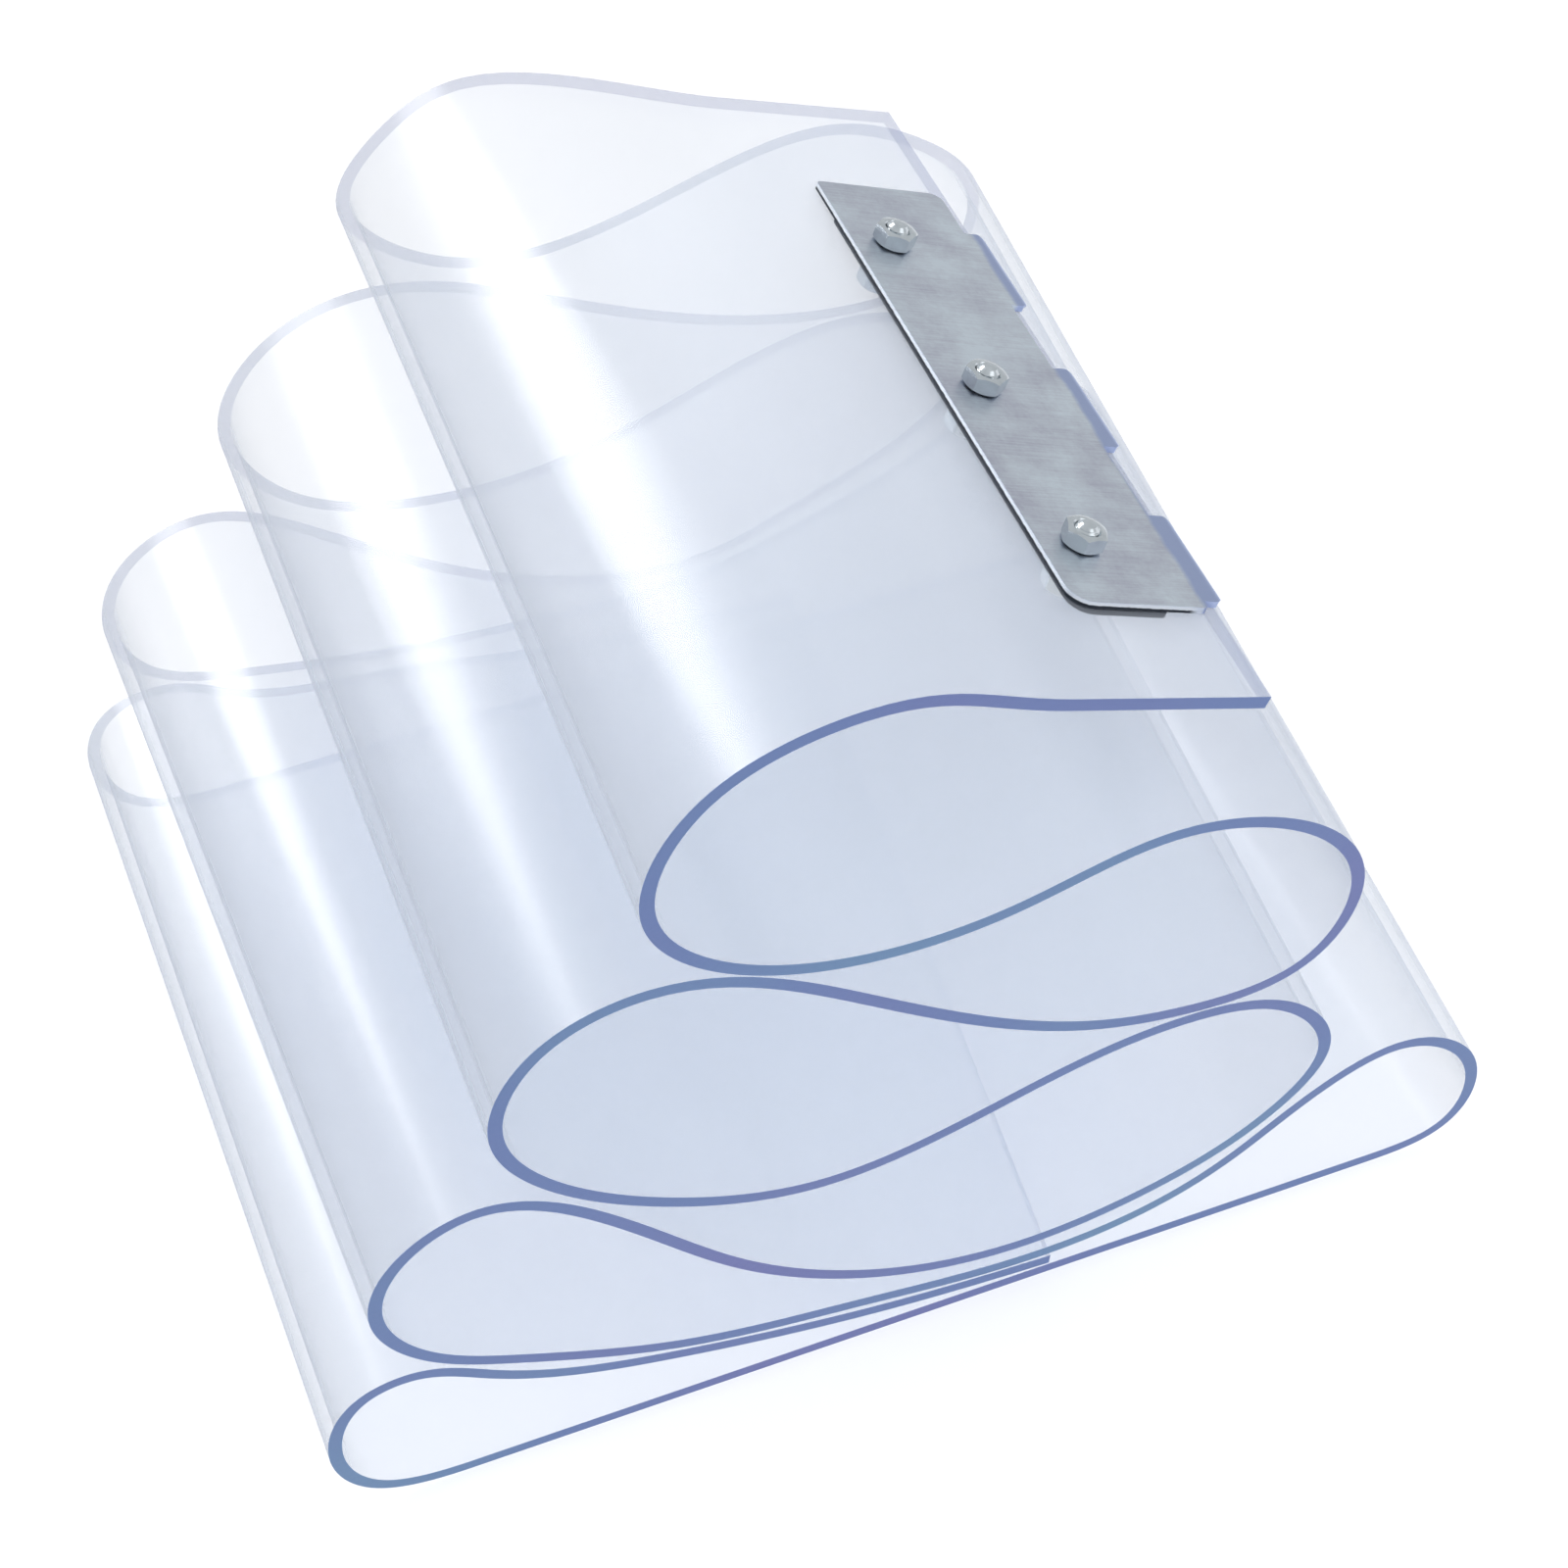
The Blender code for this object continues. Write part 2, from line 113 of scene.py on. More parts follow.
# The stage. Each lamp has its place, the sides of its panel, its share of the lamps' power,
# and whether it is there only for the streaks in the gloss.
FLOOR_GLOW = 0.16                # what the camera sees on top of the floor's light, for white
MIRRORED_SKY = 0.6               # strength of the even light in reflections
LAMP_AIM = (-0.03, 0, 0.11)
LAMPS = (
    ("key", (-0.464, 0.891, 0.82), (0.70, 0.45), 1.65, True),
    ("side", (-0.95, 0.75, 0.42), (0.08, 0.90), 0.17, True),
    ("fill", (0.70, -0.50, 0.80), (0.60, 0.60), 0.16, False),
)
OVERHEAD_SPREAD = math.radians(90)
CAMERA_PLACE = (-0.1738, -0.461, 0.671)
CAMERA_AZIMUTH, CAMERA_ELEVATION = math.radians(-21.3), math.radians(50.6)
CAMERA_LENS = 80.06              # mm, for a sensor 36 mm wide


class StripSettings(bpy.types.PropertyGroup):
    width: FloatProperty(name="Width", description="Width of the strip", default=0.2, unit="LENGTH")
    thickness: FloatProperty(name="Thickness", description="Thickness of the strip",
                             default=0.003, unit="LENGTH")
    edge_round: FloatProperty(name="Edge round", description="Rounding along the cut edges",
                              default=0.0003, unit="LENGTH")
    rows_per_span: IntProperty(name="Rows", default=12, min=2,
                               description="Rows of faces along each span of the route")
    columns: IntProperty(name="Columns", description="Points across the strip", default=25, min=2)
    cover: FloatProperty(name="Cover", description="How much the clear faces hide, seen face on",
                         default=0.17, min=0, max=1, subtype="FACTOR")
    wave_height: FloatProperty(name="Wave height", description="Height of the sheet's draw waves",
                               default=0.0016, unit="LENGTH")
    tint: FloatVectorProperty(name="Tint", description="Colour of the clear faces", subtype="COLOR",
                              default=(0.64, 0.69, 0.78), min=0, max=1)
    edge_tint: FloatVectorProperty(name="Edge tint", description="Colour of the cut edges",
                                   subtype="COLOR", default=(0.13, 0.205, 0.46), min=0, max=1)


class ClampSettings(bpy.types.PropertyGroup):
    steel: FloatVectorProperty(name="Steel", description="Colour of the plates", subtype="COLOR",
                               default=(0.66, 0.71, 0.79), min=0, max=1)
    # Painted reflection: the bluish tint where the hooks turn down stands in for blue light
    # reflected in the bent steel.
    hook_reflection_tint: FloatVectorProperty(name="Hook reflection", description="Colour at the hooks' bends",
                                    subtype="COLOR", default=(0.42, 0.50, 0.74), min=0, max=1)
    # Painted highlight along the upper part of the plate's sides.
    edge_highlight_steel: FloatVectorProperty(name="Edge highlight", description="Colour of the sides",
                                       subtype="COLOR", default=(0.74, 0.78, 0.82), min=0, max=1)
    # Painted shade: the plate under the strip and the lower part of the hook plate's sides take
    # this dark colour for the shadow they lie in.
    painted_shade_steel: FloatVectorProperty(name="Dark steel", description="Colour of the plate below",
                                    subtype="COLOR", default=(0.03, 0.035, 0.045), min=0, max=1)
    edge_break: FloatProperty(name="Edge break", description="Rounding of the plates' edges",
                              default=0.00018, unit="LENGTH")


class FastenerSettings(bpy.types.PropertyGroup):
    thread_pitch: FloatProperty(name="Thread pitch", description="Rise of the thread in one turn",
                                default=0.0008, unit="LENGTH")
    zinc: FloatVectorProperty(name="Zinc", description="Colour of the bolts and nuts",
                              subtype="COLOR", default=(0.80, 0.86, 0.90), min=0, max=1)


class StageSettings(bpy.types.PropertyGroup):
    floor_tint: FloatVectorProperty(name="Floor", description="Colour of the floor",
                                    subtype="COLOR", default=(0.80, 0.80, 0.81), min=0, max=1)
    sky: FloatProperty(name="Sky", description="Strength of the even light from all round",
                       default=0.5, min=0)
    overhead: FloatProperty(name="Overhead", description="Strength of the light from above",
                            default=2.0, min=0)
    lamp: FloatProperty(name="Lamps", description="Power that each lamp takes its share of",
                        default=5.0, unit="POWER")


class Signal:
    """A node's output. Arithmetic on it adds Math nodes."""

    def __init__(self, wiring, socket):
        self.wiring, self.socket = wiring, socket

    def maths(self, operation, *values):
        return self.wiring.node(self.wiring.prefix + "Math", {"operation": operation}, values)

    def __add__(self, other):
        return self.maths("ADD", self, other)

    def __radd__(self, other):
        return self.maths("ADD", other, self)

    def __sub__(self, other):
        return self.maths("SUBTRACT", self, other)

    def __rsub__(self, other):
        return self.maths("SUBTRACT", other, self)

    def __mul__(self, other):
        return self.maths("MULTIPLY", self, other)

    def __rmul__(self, other):
        return self.maths("MULTIPLY", other, self)

    def __truediv__(self, other):
        return self.maths("DIVIDE", self, other)

    def __pow__(self, other):
        return self.maths("POWER", self, other)


class Wiring:
    """A node tree that is written as expressions."""

    prefix = "ShaderNode"

    def __init__(self, tree):
        self.tree = tree

    def node(self, kind, settings=None, values=(), output=0):
        node = self.tree.nodes.new(kind)
        for name, value in (settings or {}).items():
            if name == "stops":
                for stop, (place, colour) in zip(self._stops(node, len(value)), value):
                    stop.position, stop.color = place, (*colour, 1)
            else:
                setattr(node, name, value)
        pairs = values.items() if isinstance(values, dict) else enumerate(values)
        for key, value in pairs:
            socket = node.inputs[key]
            if isinstance(value, Signal):
                self.tree.links.new(value.socket, socket)
            else:
                socket.default_value = value
        return Signal(self, node.outputs[output])

    @staticmethod
    def _stops(node, count):
        stops = node.color_ramp.elements
        while len(stops) < count:
            stops.new(1)
        return stops

    def other(self, signal, output):
        """Another output of the node that a signal comes from."""
        return Signal(self, signal.socket.node.outputs[output])

    def between(self, share, low, high):
        """Colour between two colours."""
        return self.node("ShaderNodeMix", {"data_type": "RGBA"}, {0: share, 6: low, 7: high}, 2)

    def limited(self, value, low, high, to_low=0.0, to_high=1.0):
        return self.node("ShaderNodeMapRange", {"clamp": True},
                         {0: value, 1: low, 2: high, 3: to_low, 4: to_high})


def colour(values):
    return (*values, 1.0)


def new_material(name):
    """A material, the wiring of its nodes, and its shader node."""
    material = bpy.data.materials.new(name)
    material.use_nodes = True
    nodes = material.node_tree.nodes
    return material, Wiring(material.node_tree), nodes["Principled BSDF"]


def plug(wiring, shader, **values):
    for name, value in values.items():
        socket = shader.inputs[name.replace("_", " ")]
        if isinstance(value, Signal):
            wiring.tree.links.new(value.socket, socket)
        else:
            socket.default_value = value


def sheet_place(wiring, along, across):
    """Place on the sheet, in metres along and across it, times the two scales."""
    uv = wiring.node("ShaderNodeUVMap", {"uv_map": "sheet"})
    return wiring.node("ShaderNodeVectorMath", {"operation": "MULTIPLY"}, (uv, (along, across, 0)))


def mix(wiring, share, first, second):
    """One shader by the share, another where the share is 1."""
    return wiring.node("ShaderNodeMixShader", {}, {0: share, 1: first, 2: second})


def show(wiring, surface):
    wiring.tree.links.new(surface.socket, wiring.tree.nodes["Material Output"].inputs["Surface"])


def clear_to_lamps(wiring, surface, passed):
    """Lets most of the lamps' light through, so that the folds aren't dark inside."""
    lamp_ray = wiring.node("ShaderNodeLightPath", {}, (), "Is Shadow Ray")
    film = wiring.node("ShaderNodeBsdfTransparent", {}, {"Color": colour(passed)})
    return mix(wiring, lamp_ray, surface, film)


def clear_face_material(settings):
    """Clear sheet: a thin tinted veil under a full gloss that follows its draw waves."""
    material, wiring, shader = new_material("clear_pvc_face")
    wave = wiring.node("ShaderNodeTexNoise", {}, {
        "Vector": sheet_place(wiring, 20, 1.5), "Scale": 1, "Detail": 1})
    draw = wiring.node("ShaderNodeTexNoise", {}, {
        "Vector": sheet_place(wiring, 60, 2.5), "Scale": 1, "Detail": 1})
    fine = wiring.node("ShaderNodeTexNoise", {}, {
        "Vector": sheet_place(wiring, 190, 3), "Scale": 1, "Detail": 1})
    haze = wiring.node("ShaderNodeTexNoise", {}, {
        "Vector": sheet_place(wiring, 14, 6), "Scale": 1, "Detail": 2})
    deep = tuple(0.90 * value for value in settings.tint)
    body = wiring.between(haze, colour(deep), colour(settings.tint))
    facing = wiring.node("ShaderNodeLayerWeight", {}, {"Blend": 0.5}, "Facing")
    bump = wiring.node("ShaderNodeBump", {}, {
        "Strength": wiring.limited(facing, 0.3, 0.7, 1.0, 0.0), "Distance": settings.wave_height,
        "Height": wave + draw * 0.5 + fine * 0.04})
    cover = facing ** 4 * 0.5 + settings.cover + (haze - 0.5) * 0.15
    plug(wiring, shader, Base_Color=body, Alpha=cover, Roughness=0.5, Specular_IOR_Level=0)
    gloss = wiring.node("ShaderNodeBsdfAnisotropic", {}, {
        "Color": (1, 1, 1, 1), "Roughness": 0.26, "Normal": bump})
    surface = mix(wiring, facing ** 4 * 0.15 + 0.03, Signal(wiring, shader.outputs[0]), gloss)
    show(wiring, clear_to_lamps(wiring, surface, (0.993, 0.995, 0.998)))
    return material


def cut_edge_material(settings):
    """Cut edge: deep colour from outside, faint where the sheet's own end is seen from within."""
    material, wiring, shader = new_material("clear_pvc_cut_edge")
    drift = wiring.node("ShaderNodeTexNoise", {}, {
        "Vector": sheet_place(wiring, 7, 1), "Scale": 1, "Detail": 2})
    tint = settings.edge_tint
    body = wiring.node("ShaderNodeValToRGB", {"stops": (
        (0.32, (1.25 * tint[0], 0.84 * tint[1], 0.98 * tint[2])), (0.5, tuple(tint)),
        (0.68, (1.05 * tint[0], 1.32 * tint[1], 1.02 * tint[2])))}, (drift,))
    saw = wiring.node("ShaderNodeTexNoise", {}, {
        "Vector": sheet_place(wiring, 900, 900), "Scale": 1, "Detail": 1})
    bump = wiring.node("ShaderNodeBump", {}, {"Strength": 0.2, "Distance": 0.0002, "Height": saw})
    plug(wiring, shader, Base_Color=body, Normal=bump, Roughness=0.35, IOR=1.53)
    within = wiring.node("ShaderNodeFresnel", {}, {"IOR": 1.53})
    clear = wiring.node("ShaderNodeBsdfTransparent")
    seen_through = wiring.limited(within, 0.3, 1.0, 0.0, 0.6)
    surface = mix(wiring, seen_through, Signal(wiring, shader.outputs[0]), clear)
    show(wiring, clear_to_lamps(wiring, surface, (0.85, 0.88, 0.94)))
    return material


def clamp_place(wiring, matrix, scale):
    """Place on the clamp in its own frame, times a scale on each axis."""
    turned = matrix.inverted()
    spot = wiring.node("ShaderNodeTexCoord", {}, (), "Object")
    local = wiring.node("ShaderNodeMapping", {"vector_type": "POINT"}, {
        "Vector": spot, "Location": turned.translation, "Rotation": turned.to_euler(),
        "Scale": (1, 1, 1)})
    return local, wiring.node("ShaderNodeVectorMath", {"operation": "MULTIPLY"}, (local, scale))


def plate_material(settings, matrix):
    """Brushed, mottled steel, with a painted bluish reflection at the hooks and painted highlight
    and shade on its sides.
    """
    material, wiring, shader = new_material("brushed_steel_plate")
    local, grain_place = clamp_place(wiring, matrix, (70, 2600, 2600))
    grain = wiring.node("ShaderNodeTexNoise", {}, {
        "Vector": grain_place, "Scale": 1, "Detail": 4, "Roughness": 0.6})
    cloud = wiring.node("ShaderNodeTexNoise", {}, {
        "Vector": local, "Scale": 75, "Detail": 4, "Roughness": 0.6})
    pitting = wiring.node("ShaderNodeTexNoise", {}, {
        "Vector": local, "Scale": 900, "Detail": 3, "Roughness": 0.7})
    mottle = cloud + (grain - 0.5) * 0.45 + (pitting - 0.5) * 0.25
    red, green, blue = settings.steel
    plain = wiring.node("ShaderNodeValToRGB", {"stops": (
        (0.30, (0.82 * red, 0.79 * green, 0.84 * blue)), (0.50, tuple(settings.steel)),
        (0.70, (1.15 * red, 1.18 * green, 1.15 * blue)))}, (mottle,))
    inward = wiring.node("ShaderNodeSeparateXYZ", {}, (local,))
    tinted = inward + (cloud - 0.5) * 0.003 - wiring.other(inward, "Y") * 0.02
    # Painted reflection: bluish tint over the hooks' bends.
    hook_reflection_share = wiring.limited(tinted, HOOK_EDGE, HOOK_EDGE - 1.2 * MM)
    body = wiring.between(hook_reflection_share, plain, colour(settings.hook_reflection_tint))
    height = wiring.other(inward, "Z") + (pitting - 0.5) * 0.0004
    off_hooks = wiring.limited(inward, HOOK_EDGE + 2 * MM, HOOK_EDGE + 4 * MM)
    # Painted highlight on the upper part of the sides, away from the hooks.
    edge_highlight_share = wiring.limited(height, PLATE_TOP - 0.1 * MM, PLATE_TOP - 0.25 * MM) * off_hooks
    body = wiring.between(edge_highlight_share, body, colour(settings.edge_highlight_steel))
    # Painted shade on the lower part of the sides, for the shadowed gap under the plate.
    edge_shade_share = wiring.limited(height, PLATE_TOP - 0.75 * MM, PLATE_TOP - 0.95 * MM) * off_hooks
    body = wiring.between(edge_shade_share, body, colour(settings.painted_shade_steel))
    roughness = 0.36 + (grain - 0.5) * 0.20 + (cloud - 0.5) * 0.20
    bump = wiring.node("ShaderNodeBump", {}, {
        "Strength": 0.2, "Distance": 0.00015, "Height": grain * 0.6 + pitting * 0.4})
    plug(wiring, shader, Base_Color=body, Metallic=1.0, Roughness=roughness, Normal=bump)
    return material


def shaded_plate_material(settings):
    """Steel of the plate under the strip, coloured dark as painted shade for the shadow under the
    hook plate.
    """
    material, wiring, shader = new_material("dark_steel_plate")
    spot = wiring.node("ShaderNodeTexCoord", {}, (), "Object")
    cloud = wiring.node("ShaderNodeTexNoise", {}, {"Vector": spot, "Scale": 160, "Detail": 4})
    tint = settings.painted_shade_steel
    body = wiring.between(cloud, colour([0.8 * value for value in tint]),
                          colour([1.2 * value for value in tint]))
    plug(wiring, shader, Base_Color=body, Metallic=1.0, Roughness=0.40 + cloud * 0.2)
    return material


def zinc_material(settings):
    material, wiring, shader = new_material("bright_zinc")
    spot = wiring.node("ShaderNodeTexCoord", {}, (), "Object")
    cloud = wiring.node("ShaderNodeTexNoise", {}, {"Vector": spot, "Scale": 420, "Detail": 3})
    dull = tuple(0.72 * value for value in settings.zinc)
    body = wiring.between(cloud, colour(dull), colour(settings.zinc))
    grit = wiring.node("ShaderNodeTexNoise", {}, {"Vector": spot, "Scale": 2400, "Detail": 2})
    bump = wiring.node("ShaderNodeBump", {}, {"Strength": 0.1, "Distance": 0.0001, "Height": grit})
    plug(wiring, shader, Base_Color=body, Metallic=1.0, Roughness=0.16 + cloud * 0.12, Normal=bump)
    return material


def route_points(shares, thickness):
    rows = []
    for across, up, layers, back_across, back_up in shares:
        stack = layers * (thickness + LAYER_GAP) + thickness / 2
        rows.append((across * FOLD_WIDTH, up * FOLD_RISE + stack,
                     (across + back_across) * FOLD_WIDTH, (up + back_up) * FOLD_RISE + stack))
    return np.array(rows)


def smooth_route(points, steps, first, last=None):
    """Cubic spline through the points, with the given directions at its ends."""
    spans = np.linalg.norm(np.diff(points, axis=0), axis=1) / math.sqrt(2)
    count = len(points)
    system, right = np.zeros((count, count)), np.zeros_like(points)
    for i in range(1, count - 1):
        system[i, i - 1:i + 2] = spans[i], 2 * (spans[i - 1] + spans[i]), spans[i - 1]
        right[i] = 3 * (spans[i] * (points[i] - points[i - 1]) / spans[i - 1]
                        + spans[i - 1] * (points[i + 1] - points[i]) / spans[i])
    system[0, 0], right[0] = 1, first
    if last is None:
        system[-1, -1], system[-1, -2] = 2, 1
        right[-1] = 3 * (points[-1] - points[-2]) / spans[-1]
    else:
        system[-1, -1], right[-1] = 1, last
    slopes = np.linalg.solve(system, right)
    rows = []
    for i, span in enumerate(spans):
        for t in np.arange(steps) / steps:
            rows.append((1 + 2 * t) * (1 - t) ** 2 * points[i] + t * (1 - t) ** 2 * span * slopes[i]
                        + t * t * (3 - 2 * t) * points[i + 1]
                        + t * t * (t - 1) * span * slopes[i + 1])
    rows.append(points[-1])
    return np.array(rows)


def strip_line(settings):
    """Centre line of the strip from its clamped end: front x, front z, back x, back z."""
    inward = np.array((-math.cos(END_DROOP), math.sin(END_DROOP)) * 2)
    along_floor = np.array((-1, 0, -1, 0))
    steps = settings.rows_per_span
    folds = smooth_route(route_points(UPPER_ROUTE, settings.thickness), steps, inward, along_floor)
    tuck = smooth_route(route_points(TUCKED_ROUTE, settings.thickness), steps, along_floor)
    ends = np.linspace(1, 0, steps, endpoint=False)[:, None]
    clamped = folds[:1] - inward * CLAMPED_END * ends
    floor = folds[-1] + (tuck[0] - folds[-1]) * np.linspace(0, 1, 4 * steps)[1:-1, None]
    line = np.vstack([clamped, folds, floor, tuck])
    line[:, (0, 2)] -= (line[:, (0, 2)].min() + line[:, (0, 2)].max()) / 2
    return line


def normals_of(line):
    tangents = np.gradient(line, axis=0)
    tangents /= np.linalg.norm(tangents, axis=1, keepdims=True)
    return np.stack([-tangents[:, 1], np.zeros(len(line)), tangents[:, 0]], axis=1)


def clamp_matrix(line, width):
    """The clamp's frame: X into the strip, Y to the front, Z off the strip."""
    front = Vector((line[0, 0], -width / 2, line[0, 1]))
    back = Vector((line[0, 2], width / 2, line[0, 3]))
    inward = Vector((-math.cos(END_DROOP), 0, math.sin(END_DROOP)))
    along = (front - back).normalized()
    normal = inward.cross(along).normalized()
    axes = Matrix((along.cross(normal), along, normal)).transposed()
    return Matrix.Translation((front + back) / 2) @ axes.to_4x4()


def route_object(line, width):
    """Points along the front edge, each with its way to the back edge and its normals."""
    mesh = bpy.data.meshes.new("route")
    front = np.stack([line[:, 0], np.full(len(line), -width / 2), line[:, 1]], axis=1)
    back = np.stack([line[:, 2], np.full(len(line), width / 2), line[:, 3]], axis=1)
    mesh.from_pydata(front.tolist(), [], [])
    steps = np.linalg.norm(np.diff((front + back) / 2, axis=0), axis=1)
    values = {"across": back - front, "front_normal": normals_of(line[:, :2]),
              "back_normal": normals_of(line[:, 2:])}
    for name, vectors in values.items():
        attribute = mesh.attributes.new(name, "FLOAT_VECTOR", "POINT")
        attribute.data.foreach_set("vector", vectors.ravel())
    along = mesh.attributes.new("along", "FLOAT", "POINT")
    along.data.foreach_set("value", np.concatenate([[0], np.cumsum(steps)]))
    item = bpy.data.objects.new("pvc_sheet", mesh)
    bpy.context.scene.collection.objects.link(item)
    return item


def new_tree(name, sockets):
    tree = bpy.data.node_groups.new(name, "GeometryNodeTree")
    tree.interface.new_socket("Geometry", in_out="INPUT", socket_type="NodeSocketGeometry")
    for label, kind in sockets:
        tree.interface.new_socket(label, in_out="INPUT", socket_type=kind)
    tree.interface.new_socket("Geometry", in_out="OUTPUT", socket_type="NodeSocketGeometry")
    wiring = Wiring(tree)
    given = tree.nodes.new("NodeGroupInput")
    return tree, wiring, {s.name: Signal(wiring, s) for s in given.outputs if s.name}


def finish_tree(wiring, geometry, material):
    """Realize Instances and Set Material, then the tree's output."""
    real = wiring.node("GeometryNodeRealizeInstances", {}, (geometry,))
    painted = wiring.node("GeometryNodeSetMaterial", {}, {"Geometry": real, "Material": material})
    out = wiring.tree.nodes.new("NodeGroupOutput")
    wiring.tree.links.new(painted.socket, out.inputs[0])


def run_tree(item, tree, values):
    modifier = item.modifiers.new(tree.name, "NODES")
    modifier.node_group = tree
    for socket in tree.interface.items_tree:
        if socket.in_out == "INPUT" and socket.name in values:
            modifier[socket.identifier] = values[socket.name]
    return modifier


def drop_empty_slots(mesh):
    """Takes out the material slots that hold nothing, and renumbers the faces'."""
    kept = [material for material in mesh.materials if material]
    numbers = np.zeros(len(mesh.polygons), int)
    mesh.polygons.foreach_get("material_index", numbers)
    new = [kept.index(material) if material else 0 for material in mesh.materials] or [0]
    mesh.materials.clear()
    for material in kept:
        mesh.materials.append(material)
    mesh.polygons.foreach_set("material_index", np.array(new)[numbers])


def plain_mesh(item):
    """Turns what the modifiers make into a plain mesh, and removes them."""
    graph = bpy.context.evaluated_depsgraph_get()
    made = bpy.data.meshes.new_from_object(item.evaluated_get(graph), depsgraph=graph)
    item.modifiers.clear()
    drop_empty_slots(made)
    item.data = made
    return item


def ruled_sheet_tree(face, edge):
    """Sheet ruled from the route's points along their way across, with its thickness."""
    tree, wiring, given = new_tree("Ruled sheet", (
        ("Columns", "NodeSocketInt"), ("Thickness", "NodeSocketFloat"),
        ("Width", "NodeSocketFloat")))
    node, route, columns = wiring.node, given["Geometry"], given["Columns"]
    stations = node("GeometryNodeAttributeDomainSize", {"component": "MESH"}, (route,),
                    "Point Count")
    grid = node("GeometryNodeMeshGrid", {}, {"Vertices X": stations, "Vertices Y": columns})
    index = node("GeometryNodeInputIndex")
    station = node("ShaderNodeMath", {"operation": "FLOOR"}, (index / columns,))
    share = (index - station * columns) / (columns - 1)

    def at_station(name, kind):
        field = node("GeometryNodeInputNamedAttribute", {"data_type": kind}, {"Name": name})
        return node("GeometryNodeSampleIndex", {"data_type": kind, "domain": "POINT"},
                    {"Geometry": route, "Value": field, "Index": station})

    def blend(share, low, high):
        return node("ShaderNodeMix", {"data_type": "VECTOR"}, {0: share, 4: low, 5: high}, 1)

    place = node("GeometryNodeInputPosition")
    front = node("GeometryNodeSampleIndex", {"data_type": "FLOAT_VECTOR", "domain": "POINT"},
                 {"Geometry": route, "Value": place, "Index": station})
    across = at_station("across", "FLOAT_VECTOR")
    normal = node("ShaderNodeVectorMath", {"operation": "NORMALIZE"}, (
        blend(share, at_station("front_normal", "FLOAT_VECTOR"),
              at_station("back_normal", "FLOAT_VECTOR")),))
    middle = node("ShaderNodeVectorMath", {"operation": "MULTIPLY_ADD"}, (
        across, node("ShaderNodeCombineXYZ", {}, (share, share, share)), front))
    half = node("ShaderNodeVectorMath", {"operation": "SCALE"},
                {"Vector": normal, "Scale": given["Thickness"] * -0.5})
    under = node("ShaderNodeVectorMath", {"operation": "ADD"}, (middle, half))
    uv = node("GeometryNodeFieldOnDomain", {"data_type": "FLOAT_VECTOR", "domain": "POINT"}, (
        node("ShaderNodeCombineXYZ", {},
             (at_station("along", "FLOAT"), share * given["Width"], 0)),))
    marked = node("GeometryNodeStoreNamedAttribute", {"data_type": "FLOAT2", "domain": "CORNER"},
                  {"Geometry": grid, "Name": "sheet", "Value": uv})
    marked = node("GeometryNodeStoreNamedAttribute",
                  {"data_type": "FLOAT_VECTOR", "domain": "POINT"},
                  {"Geometry": marked, "Name": "off", "Value": normal})
    lower = node("GeometryNodeSetPosition", {}, {"Geometry": marked, "Position": under})
    off = node("GeometryNodeInputNamedAttribute", {"data_type": "FLOAT_VECTOR"}, {"Name": "off"})
    drawn = node("GeometryNodeExtrudeMesh", {"mode": "FACES"}, {
        "Mesh": lower, "Offset": off, "Offset Scale": given["Thickness"], "Individual": False})
    drawn = node("GeometryNodeStoreNamedAttribute", {"data_type": "BOOLEAN", "domain": "FACE"}, {
        "Geometry": drawn, "Name": "cut_face", "Value": wiring.other(drawn, "Side")})
    bottom = node("GeometryNodeFlipFaces", {}, (lower,))
    join = tree.nodes.new("GeometryNodeJoinGeometry")
    for part in (drawn, bottom):
        tree.links.new(part.socket, join.inputs[0])
    whole = node("GeometryNodeMergeByDistance", {}, {
        "Geometry": Signal(wiring, join.outputs[0]), "Distance": 0.00001})
    real = node("GeometryNodeRealizeInstances", {}, (whole,))
    painted = node("GeometryNodeSetMaterial", {}, {"Geometry": real, "Material": face})
    cut_face = node("GeometryNodeInputNamedAttribute", {"data_type": "BOOLEAN"},
                    {"Name": "cut_face"})
    painted = node("GeometryNodeSetMaterial", {}, {
        "Geometry": painted, "Selection": cut_face, "Material": edge})
    out = tree.nodes.new("NodeGroupOutput")
    tree.links.new(painted.socket, out.inputs[0])
    return tree


def fasteners_tree(material):
    """One shape on every point, turned as the point says."""
    tree, wiring, given = new_tree("Fasteners on the clamp", (("Shape", "NodeSocketObject"),))
    shape = wiring.node("GeometryNodeObjectInfo", {}, {"Object": given["Shape"]}, "Geometry")
    turn = wiring.node("GeometryNodeInputNamedAttribute", {"data_type": "FLOAT_VECTOR"},
                       {"Name": "turn"})
    placed = wiring.node("GeometryNodeInstanceOnPoints", {}, {
        "Points": given["Geometry"], "Instance": shape, "Rotation": turn})
    finish_tree(wiring, placed, material)
    return tree


def bolt_places():
    first = BOLTS_OFFSET - BOLT_PITCH * (BOLTS - 1) / 2
    return [Vector((BOLT_INSET, first + bolt * BOLT_PITCH, 0)) for bolt in range(BOLTS)]


def clamp_points(matrix, height, turns):
    """Points at the bolts' places, each with the turn of its fastener."""
    mesh = bpy.data.meshes.new("fastener_points")
    places, rotations = [], []
    for place, turn in zip(bolt_places(), turns):
        place.z = height
        places.append(matrix @ place)
        rotations.append((matrix.to_3x3() @ Matrix.Rotation(math.radians(turn), 3, "Z")).to_euler())
    mesh.from_pydata(places, [], [])
    turn = mesh.attributes.new("turn", "FLOAT_VECTOR", "POINT")
    turn.data.foreach_set("vector", np.array(rotations, float).ravel())
    return mesh


